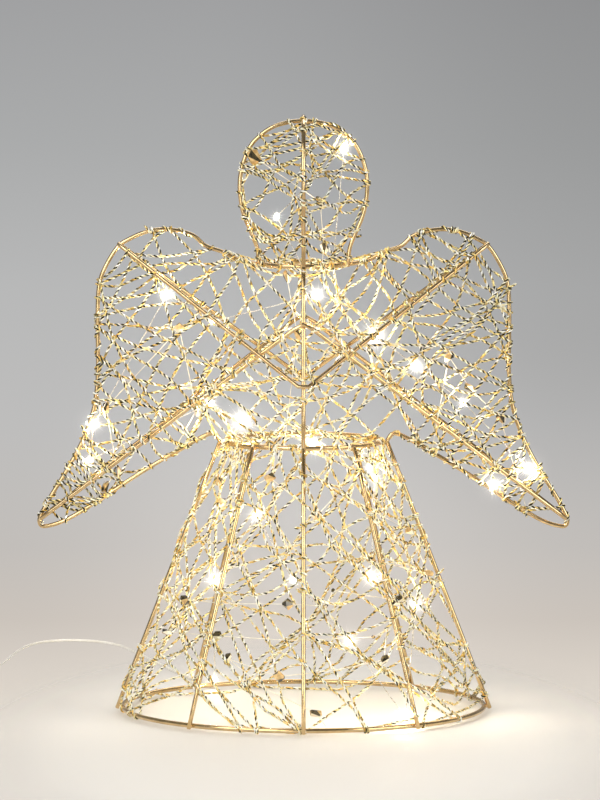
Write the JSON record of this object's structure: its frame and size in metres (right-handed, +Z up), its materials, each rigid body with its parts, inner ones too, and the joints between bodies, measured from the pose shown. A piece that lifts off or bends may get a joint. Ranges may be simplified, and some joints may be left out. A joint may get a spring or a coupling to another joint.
{
  "type": "lighted angel figurine",
  "caption": "Standing wire-frame angel with spread wings, wound with glitter thread and beads, lit by a light string fed from a small battery box.",
  "frame": {"origin": "middle of the figure's stance on the surface it stands on, under its neck", "axes": "+Z up along the figure, +X to the viewer's right, the figure's front looks along -Y"},
  "size_m": [0.4459, 0.4974, 0.3999],
  "materials": {
    "frame_wire": "champagne gold lacquer, satin gloss",
    "glitter_thread": "two twisted plies, gold and silver-green glitter",
    "smoky_crystal": "faceted, smoky amber, clear and glossy",
    "light_string": "clear drops over warm white lights on bare wire",
    "clear_plastic": "milky clear insulation",
    "white_plastic": "fine satin moulding",
    "cell_sleeve": "plain printed sleeve, no mark",
    "plated_steel": "nickel plated",
    "green_board": "lacquered board",
    "dark_plastic": "plain dark moulding"
  },
  "bodies": {
    "figure": {"base_ring": "frame_wire", "waist_ring": "frame_wire", "neck_ring": "frame_wire", "skirt_strut_front": "frame_wire", "skirt_strut_front_right": "frame_wire", "skirt_strut_right": "frame_wire", "skirt_strut_rear_right": "frame_wire", "skirt_strut_rear": "frame_wire", "skirt_strut_rear_left": "frame_wire", "skirt_strut_left": "frame_wire", "skirt_strut_front_left": "frame_wire", "torso_strut_front": "frame_wire", "torso_strut_rear": "frame_wire", "head_arch_side_to_side": "frame_wire", "head_arch_front_to_rear": "frame_wire", "wing_outline_left": "frame_wire", "wing_outline_right": "frame_wire", "ridge_low_front": "frame_wire", "ridge_high_front": "frame_wire", "ridge_low_rear": "frame_wire", "ridge_high_rear": "frame_wire", "skirt_thread": "glitter_thread", "torso_thread": "glitter_thread", "wing_thread_left": "glitter_thread", "wing_thread_right": "glitter_thread", "head_thread_1": "glitter_thread", "head_thread_2": "glitter_thread", "head_thread_3": "glitter_thread", "head_thread_4": "glitter_thread", "junction_sleeve": "clear_plastic", "light_string": "light_string", "bead_strand_skirt": "smoky_crystal", "bead_strand_torso": "smoky_crystal", "bead_strand_head": "smoky_crystal", "bead_strand_wing_left": "smoky_crystal", "bead_strand_wing_right": "smoky_crystal", "lead": "clear_plastic", "battery_tray": "white_plastic", "cell_1": "cell_sleeve", "cell_2": "cell_sleeve", "cell_3": "cell_sleeve", "contact_bridge_front": "plated_steel", "contact_spring_front": "plated_steel", "contact_flat_rear": "plated_steel", "contact_bridge_rear": "plated_steel", "circuit_board": "green_board", "switch_body": "dark_plastic", "lead_grommet": "white_plastic"},
    "cover": {"battery_cover": "white_plastic"},
    "knob": {"switch_knob": "dark_plastic"}
  },
  "joints": [
    {"name": "cover_slide", "type": "slide", "parent": "figure", "child": "cover", "axis": [0, -1, 0], "range_m": [0, 0.055]},
    {"name": "switch_slide", "type": "slide", "parent": "figure", "child": "knob", "axis": [1, 0, 0], "range_m": [0, 0.004]}
  ]
}
